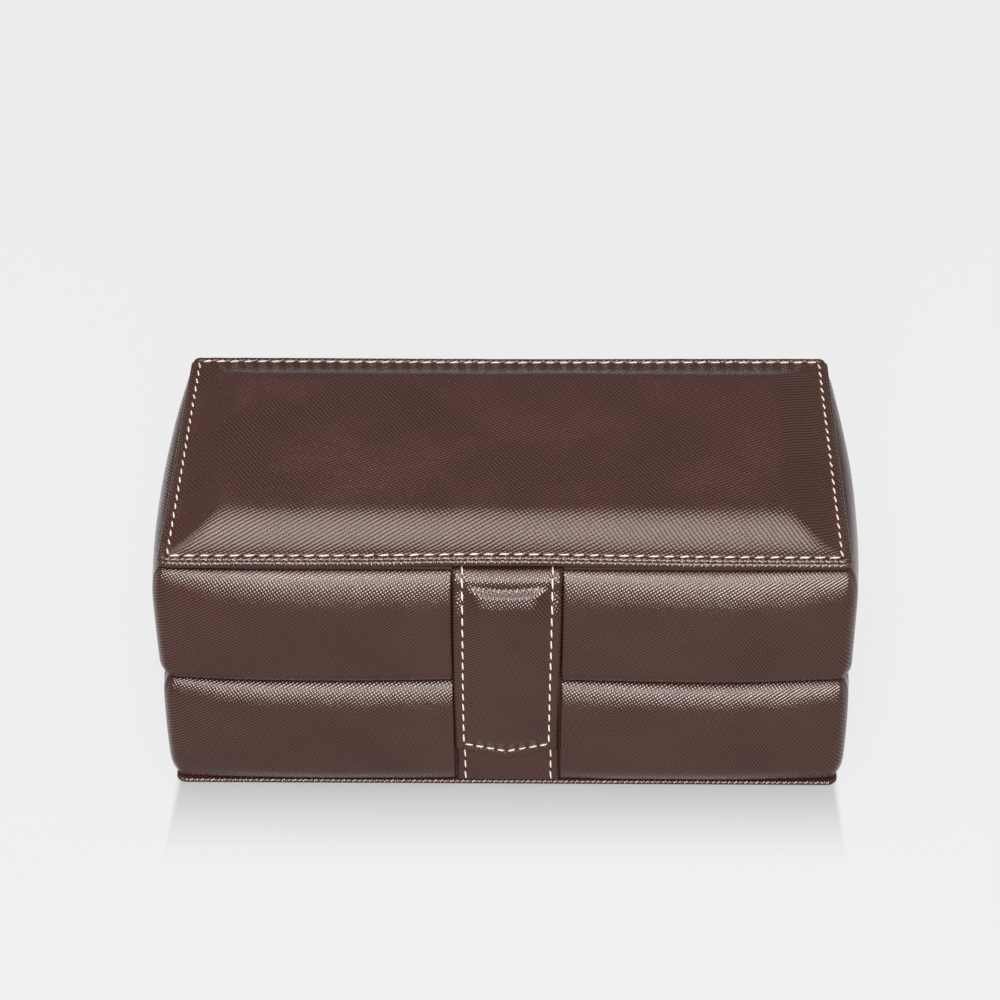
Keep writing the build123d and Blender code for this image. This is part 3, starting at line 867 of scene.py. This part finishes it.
# The strap: sewn flat, then bent over the edge of the box
strap = {
    "x": 0.0013,
    "half": 0.0196,
    "taper": 0.027,
    "stitchAt": 0.0162,
    "shoulder": 0.0045,
    "side": [(-0.0570, 0.10462), (-0.0612, 0.10462), (-0.0638, 0.1043), (-0.0657, 0.1032),
             (-0.0668, 0.1019), (-0.0671, 0.1004), (-0.0671, 0.0988), (-0.0673, 0.0970),
             (-0.0680, 0.0946), (-0.0690, 0.0912), (-0.0697, 0.0855), (-0.0697, 0.0720),
             (-0.0688, 0.0560), (-0.0678, 0.0420), (-0.0671, 0.0290), (-0.0670, 0.0168)],
    "rowStart": 0.0035,
    "tipIn": 0.0033,         # the pointed end's stitches, in from its edge
    "bow": 0.0008,
    "bend": 0.0185,
    "puff": {"high": 0.0027, "start": 0.0114, "sag": 0.0024, "rise": 0.0030, "tipIn": 0.0034, "point": 0.22,
             "fade": 0.006, "humpAt": 0.017, "humpLong": 0.011},
    "groove": {"deep": 0.00032, "wide": 0.00055, "stop": 0.0045, "fade": 0.002},
    "rootThick": 0.00125,
    "thick": 0.0025,
    "thickFrom": 0.006,
    "thickOver": 0.008,
    "round": (0.0007, 0.0009),  # height and width of the rounded edge
    "wave": 0.0001,
    "lean": -0.0010,
}


def smoothLine(points, steps=14):
    # A soft curve through the side view's points
    line = []
    for index in range(len(points) - 1):
        p0 = Vector(points[max(index - 1, 0)])
        p1, p2 = Vector(points[index]), Vector(points[index + 1])
        p3 = Vector(points[min(index + 2, len(points) - 1)])
        for number in range(steps):
            t = number / steps
            curve = (2 * p1) + (p2 - p0) * t + (2 * p0 - 5 * p1 + 4 * p2 - p3) * t * t
            line.append(0.5 * (curve + (3 * p1 - p0 - 3 * p2 + p3) * t ** 3))
    line.append(Vector(points[-1]))
    return line


strapLine = smoothLine(strap["side"])
strapLengths = [0.0]
for first, second in zip(strapLine, strapLine[1:]):
    strapLengths.append(strapLengths[-1] + (second - first).length)
strapLength = strapLengths[-1]


def strapPlace(across, along, lift):
    # Where a point of the flat strap lands on the box; lift is above its outer face
    distance = min(max(along, 0.0), strapLength)
    index = next(n for n in range(1, len(strapLengths)) if strapLengths[n] >= distance - 1e-12)
    first, second = strapLine[index - 1], strapLine[index]
    t = (distance - strapLengths[index - 1]) / max(strapLengths[index] - strapLengths[index - 1], 1e-9)
    spot = first.lerp(second, t)
    before = strapLine[max(index - 2, 0)]
    after = strapLine[min(index + 1, len(strapLine) - 1)]
    tangent = (after - before).normalized()
    normal = Vector((tangent.y, -tangent.x))
    share = along / strapLength
    x = strap["x"] + across * (1 - strap["taper"] * share) + strap["lean"] * ease(share)
    proud = strap["bow"] * (1 - (across / strap["half"]) ** 2) * bell((along - strap["bend"]) / 0.008)
    place = Vector((x, spot.x - proud + normal.x * lift, spot.y + normal.y * lift))
    return place, Vector((0, normal.x, normal.y))


def strapPuff(across, along):
    p = strap["puff"]
    inside = 1 - abs(across) / (strap["stitchAt"] - 0.0002)
    if inside <= 0:
        return 0.0
    tip = strapLength - along - p["tipIn"] - p["point"] * abs(across)
    start = p["start"] + p["sag"] * (1 - (across / strap["stitchAt"]) ** 2)
    swell = p["high"] * (0.5 + 0.5 * bell((along - p["humpAt"]) / p["humpLong"]))
    return swell * ease(inside * 2.2) ** 0.8 * ease(tip / p["fade"]) * ease((along - start) / p["rise"])


def strapGroove(across, along):
    g = strap["groove"]
    rows = bell((abs(across) - strap["stitchAt"]) / g["wide"])
    rows *= ease((strapLength - g["stop"] - along) / g["fade"])
    line = strapLength - strap["tipIn"] - abs(across) * strap["shoulder"] / strap["half"]
    vee = bell((along - line) / g["wide"]) if abs(across) < strap["stitchAt"] else 0.0
    return g["deep"] * max(rows, vee)


def strapLeatherPiece():
    half, length = strap["half"], strapLength
    bm = bmesh.new()
    bmesh.ops.create_grid(bm, x_segments=44, y_segments=150, size=1)
    for vert in bm.verts:
        vert.co = (vert.co.x * half, (vert.co.y + 1) / 2 * length, 0)
    for side in (-1, 1):  # the shallow point
        normal = Vector((side * strap["shoulder"], half, 0)).normalized()
        bmesh.ops.bisect_plane(bm, geom=bm.verts[:] + bm.edges[:] + bm.faces[:], dist=1e-7,
                               plane_co=(0, length, 0), plane_no=normal, clear_outer=True)
    layGrain(bm, bm.loops.layers.uv.new("grain"), lambda vert: (vert.co.x, -vert.co.y))
    under = set(vertsOf(bmesh.ops.extrude_face_region(bm, geom=bm.faces[:])))
    bmesh.ops.recalc_face_normals(bm, faces=bm.faces)
    roundHigh, roundWide = strap["round"]
    for vert in bm.verts:
        across, along = vert.co.x, vert.co.y
        grown = ease((along - strap["thickFrom"]) / strap["thickOver"])
        thick = strap["rootThick"] + (strap["thick"] - strap["rootThick"]) * grown
        edge = min(half - abs(across), (length - along - abs(across) * strap["shoulder"] / half) * 0.97)
        rounding = roundHigh * (1 - math.sqrt(max(0.0, 1 - max(0.0, 1 - edge / roundWide) ** 2)))
        if vert in under:
            lift = -thick + rounding
        else:
            lift = -rounding + strapPuff(across, along) - strapGroove(across, along)
            lift += strap["wave"] * ripple(across * 120, along * 120, 2.2)
        vert.co = strapPlace(across, along, lift)[0]
    outward(bm)
    piece = newPiece("strapLeather", bm, None, wrappedLeather,
                     ["strap_outer", "strap_lining", "strap_tab"])
    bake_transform(piece)


strapLeatherPiece()


def strapSpot(across, along):
    lift = strapPuff(across, along) - strapGroove(across, along) + 0.0001
    return strapPlace(across, along, lift)


def sewStrap():
    random.seed(17)
    thread, holes = bmesh.new(), bmesh.new()
    at, start, tip = strap["stitchAt"], strap["rowStart"], strapLength - strap["tipIn"]
    shoulder = tip - at * strap["shoulder"] / strap["half"]
    for side in (-1, 1):
        row = [strapSpot(side * at, start + (shoulder - start) * n / 120) for n in range(121)]
        sewRow(thread, holes, row, sewing["strapSlant"])
        vee = [strapSpot(side * at * (1 - n / 30), shoulder + (tip - shoulder) * n / 30) for n in range(31)]
        sewRow(thread, holes, vee, sewing["strapSlant"], sewing["veePitch"])
    for piece in sewnPieces("strap", thread, holes, None):
        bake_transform(piece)


sewStrap()

# Flat bands behind the strap, one on each tier
band = {
    "x": 0.0008,
    "half": 0.0190,
    "front": -0.0643,
    "back": -0.0615,
    "stitchAt": 0.0160,
    "thinFrom": 0.090,       # above this height the band thins, which leaves room for the strap's bend
    "thinOver": 0.009,
    "thinned": 0.6,
    "sewnDepth": 0.0003,
    "tiers": {"upper_band": (0.0527, 0.1025, "casing"), "drawer_band": (0.0029, 0.0521, "drawer")},
}


def bandDepth(y, z):
    share = 1 - band["thinned"] * ease((z - band["thinFrom"]) / band["thinOver"])
    return band["back"] + (y - band["back"]) * share


def bands():
    random.seed(23)
    for node, (low, high, body) in band["tiers"].items():
        x, front = band["x"], band["front"]
        rows = [x + side * band["stitchAt"] for side in (-1, 1)]
        bm = softBlock((x - band["half"], front, low), (x + band["half"], band["back"], high), 0, 0.0007)
        cutAlong(bm, 2, [low + (high - low) * n / 12 for n in range(1, 12)])
        cutAlong(bm, 0, [row + shift for row in rows for shift in (-0.001, 0, 0.001)])
        outward(bm)
        boxUv(bm)
        for vert in bm.verts:
            if vert.co.y < front + 0.0004:
                dx = abs(abs(vert.co.x - x) - band["stitchAt"])
                vert.co.y += band["sewnDepth"] if dx < 0.0005 else 0.0
            vert.co.y = bandDepth(vert.co.y, vert.co.z)
        name = "upperBand" if body == "casing" else "drawerBand"
        newPiece(name, bm, body, wrappedLeather, [node])
        thread, holes = bmesh.new(), bmesh.new()
        for row in rows:
            heights = [high - (high - low) * n / 40 for n in range(41)]
            path = [(Vector((row, bandDepth(front + 0.00012, z), z)), Vector((0, -1, 0))) for z in heights]
            sewRow(thread, holes, path, sewing["strapSlant"])
        sewnPieces(name, thread, holes, body)


bands()
print("strap and sewing made")

# Base: leather turned over the edge of a thin board
base = {"halfX": 0.125, "halfY": 0.06425, "low": 0.0006, "high": 0.0024, "corner": 0.004, "edge": 0.0008}


baseMesh = slab(base, 4, (0.008, 14))
boxUv(baseMesh)
newPiece("baseCover", baseMesh, "casing", wrappedLeather, ["base_board"])

# Watch cushions: oval bolsters with a piped seam round each end panel
cushion = {
    "places": (-0.087, -0.029, 0.029, 0.087),
    "low": 0.0553,
    "halfX": 0.0248,
    "halfY": 0.0418,
    "halfZ": 0.0178,
    "around": 72,
    "stations": [(0.0, 0.79), (0.0006, 0.835), (0.0012, 0.85), (0.0019, 0.842), (0.0027, 0.83),
                 (0.0045, 0.86), (0.008, 0.905), (0.0125, 0.95), (0.0175, 0.982), (0.0248, 1.0)],
    "wave": 0.0005,
    "fold": 0.00035,
    "air": 4.0,
    "slack": -0.03,
    "most": 0.0012,
}


def watchCushion(number, middleX):
    c = cushion
    bm = bmesh.new()
    turn = Matrix.Rotation(math.pi / 2, 4, "Y")
    bmesh.ops.create_circle(bm, cap_ends=True, cap_tris=False, segments=c["around"], radius=1, matrix=turn)
    middleZ = c["low"] + c["halfZ"] - 0.0009
    stations = c["stations"] + [(2 * c["halfX"] - d, s) for d, s in reversed(c["stations"][:-1])]
    face = bm.faces[:][0]
    for vert in face.verts:
        across, up = vert.co.y * c["halfY"], vert.co.z * c["halfZ"]
        vert.co = (middleX - c["halfX"], across * stations[0][1], up * stations[0][1])
    drawOut(bm, face, stations, 0, (middleX, 0, 0))
    for cap in [f for f in bm.faces if len(f.verts) > 4]:
        bmesh.ops.inset_region(bm, faces=[cap], thickness=0.002, depth=0.0, use_even_offset=True)
        for shrink in (0.8, 0.7, 0.55):
            cap = bmesh.ops.extrude_discrete_faces(bm, faces=[cap])["faces"][0]
            bmesh.ops.scale(bm, vec=(1, shrink, shrink), verts=cap.verts)
    for vert in bm.verts:
        x, y, z = vert.co
        z += middleZ
        offset = (x - middleX) / c["halfX"]
        wave = c["wave"] * ripple(x * 45, y * 45, z * 45 + number * 7.7)
        fold = c["fold"] * ripple(y * 210, z * 210, number * 3.3)
        fold *= ease((abs(offset) - 0.55) / 0.4)
        direction = Vector((0, y, z - middleZ))
        if direction.length > 1e-6 and abs(offset) < 0.97:
            y += direction.normalized().y * (wave + fold)
            z += direction.normalized().z * (wave + fold)
        if z < c["low"] + 0.0004:
            z = c["low"] + 0.0001 + 0.0003 * ease(abs(y) / c["halfY"])
        vert.co = (x, y, z)
    outward(bm)
    name, node = f"watchCushion{number}", f"watch_cushion_{number}"
    piece = newPiece(name, bm, "casing", beigeSuede, [node])
    seam = c["halfX"] - 0.0021
    plump(piece, c, lambda co: co.z < c["low"] + 0.0006 or abs(abs(co.x - middleX) - seam) < 0.0011)
    subdivide(piece)


for number, middleX in enumerate(cushion["places"], start=1):
    watchCushion(number, middleX)

# Ring rolls in the drawer
roll = {
    "places": (-0.10115, -0.08485, -0.06855, -0.05225),
    "front": -0.0549,
    "back": 0.0467,
    "z": 0.0145,
    "low": 0.0079,
    "radius": 0.00795,
    "endShare": 0.62,
    "wave": 0.00022,
    "air": 3.0,
    "slack": -0.02,
    "most": 0.0003,
}


def ringRoll(number, middleX):
    r = roll
    bm = bmesh.new()
    turn = Matrix.Rotation(-math.pi / 2, 4, "X")
    length = r["back"] - r["front"]
    endRadius = r["radius"] * r["endShare"]
    bmesh.ops.create_circle(bm, cap_ends=True, cap_tris=False, segments=32, radius=endRadius, matrix=turn)
    bmesh.ops.translate(bm, vec=(middleX, r["front"], r["z"]), verts=bm.verts)
    stations = [(0.0, r["endShare"]), (0.0004, 0.82), (0.0012, 0.95)]
    stations += [(0.0025 + (length - 0.005) * n / 24, 1.0) for n in range(25)]
    stations += [(length - 0.0012, 0.95), (length - 0.0004, 0.82), (length, r["endShare"])]
    drawOut(bm, bm.faces[:][0], stations, 1, (middleX, 0, r["z"]))
    for vert in bm.verts:
        x, y, z = vert.co
        x += r["wave"] * ripple(x * 60, y * 60, number * 5.1)
        if z < r["low"] + 0.0002:
            z = r["low"] + 0.0001
        vert.co = (x, y, z)
    outward(bm)
    piece = newPiece(f"ringRoll{number}", bm, "drawer", beigeSuede, [f"ring_roll_{number}"])
    plump(piece, r, lambda co: co.z < r["low"] + 0.0004)
    subdivide(piece)


for number, middleX in enumerate(roll["places"], start=1):
    ringRoll(number, middleX)


# Lining of the lid: thin wadding under suede, drawn tight at its edge
lining = {"halfX": 0.1135, "halfY": 0.053, "low": 0.1033, "high": 0.1047, "corner": 0.003, "edge": 0.0006}


def lidLining():
    bm = slab(lining, 3, (0.009, 12), (0.009, 5))
    for vert in bm.verts:
        x, y, z = vert.co
        edge = min(lining["halfX"] - abs(x), lining["halfY"] - abs(y))
        if z < lining["low"] + 0.0003:
            vert.co.z -= 0.0001 * ease(edge / 0.02) + 0.00008 * ripple(x * 50, y * 50, 9.1)
    piece = newPiece("lidLining", bm, "lid", beigeSuede, ["lid_lining"])


lidLining()
print("cushions and lining made")

# Finishes of the CAD pieces that stay
finishes = {
    "beigeSuede": ["tray_floor", "tray_left_lining", "tray_right_lining", "tray_front_lining",
                   "tray_back_lining", "left_divider", "middle_divider", "right_divider",
                   "drawer_lining", "drawer_left_divider", "drawer_right_divider"],
    "brownPaper": ["left_wall", "right_wall", "back_wall", "upper_front_wall", "shelf_board",
                   "drawer_bottom", "drawer_left_side", "drawer_right_side", "drawer_back",
                   "drawer_front_board"],
    "polishedBrass": ["left_hinge_lower_leaf", "right_hinge_lower_leaf", "left_hinge_upper_leaf",
                      "right_hinge_upper_leaf", "hinge_pins", "wall_screws", "lid_screws"],
    "platedSteel": ["strike_plate", "strap_magnet"],
    "darkFelt": ["base_felt"],
}
for materialName, names in finishes.items():
    for name in names:
        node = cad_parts[name]
        node.data.materials.clear()
        node.data.materials.append(bpy.data.materials[materialName])
print("finishes given")

# Studio
studio = {
    "floorSize": 40.0,
    "floorTone": 0.06,
    "floorGlow": 0.76,
    "footShade": {"deepest": 0.5, "front": (0.044, 0.109), "side": (0.119, 0.126), "back": (-0.05, 0.05)},
    "world": {"above": 0.15, "below": 0.3, "behind": 1.0},
    "lights": {
        "overhead": {"size": (2.0, 2.55), "place": (0.0, -0.475, 2.5), "aim": (0.0, -0.475, 0.0),
                     "radiance": 3.8},
        "frontBox": {"size": (1.3, 2.1), "place": (0.0, -2.25, 1.516), "aim": (0.0, -0.07, 0.1),
                     "radiance": 14.5},
    },
}


def makeStudio():
    bm = bmesh.new()
    bmesh.ops.create_grid(bm, x_segments=1, y_segments=1, size=studio["floorSize"] / 2)
    mesh = bpy.data.meshes.new("floor")
    bm.to_mesh(mesh)
    bm.free()
    floor = newObject("floor", mesh)
    material, tree, shader = newMaterial("paleFloor")
    apart = newNode(tree, "SeparateXYZ", {0: placeOf(tree)}).outputs
    shade = studio["footShade"]  # the glow fades at the foot of the box, as a soft shade would
    ahead = rampNode(tree, mathNode(tree, "MULTIPLY", apart["Y"], -1.0), *shade["front"], shade["deepest"])
    aside = rampNode(tree, mathNode(tree, "ABSOLUTE", apart["X"]), *shade["side"])
    behind = rampNode(tree, apart["Y"], *shade["back"])
    free = mathNode(tree, "MAXIMUM", mathNode(tree, "MAXIMUM", ahead, aside), behind)
    feed(shader.inputs, {
        "Base Color": (*[studio["floorTone"]] * 3, 1),
        "Roughness": 0.8,
        "Specular IOR Level": 0.0,
        "Emission Color": (1, 1, 1, 1),
        "Emission Strength": mathNode(tree, "MULTIPLY", free, studio["floorGlow"]),
    })
    mesh.materials.append(material)
    floor.visible_glossy = False  # the leather mirrors the dim surround instead
    for name, given in studio["lights"].items():
        data = bpy.data.lights.new(name, "AREA")
        data.shape = "RECTANGLE"
        data.size, data.size_y = given["size"]
        data.energy = given["radiance"] * math.pi * data.size * data.size_y
        light = newObject(name, data)
        light.location = given["place"]
        aim = Vector(given["aim"]) - Vector(given["place"])
        light.rotation_euler = aim.to_track_quat("-Z", "Y").to_euler()
    world = bpy.data.worlds.new("studio")
    bpy.context.scene.world = world
    world.use_nodes = True
    tree = world.node_tree
    away = newNode(tree, "SeparateXYZ", {0: placeOf(tree, "Generated")}).outputs
    glow = studio["world"]
    under = rampNode(tree, away["Z"], -0.35, -0.1, 1.0, 0.0)
    gains = [glow[key] - glow["above"] for key in ("below", "behind")]
    behind = rampNode(tree, away["Y"], 0.0, 0.5, *gains)
    strength = mathNode(tree, "MULTIPLY_ADD", under, behind, glow["above"])
    feed(tree.nodes["Background"].inputs, {"Color": (1, 1, 1, 1), "Strength": strength})


makeStudio()
print("studio made")
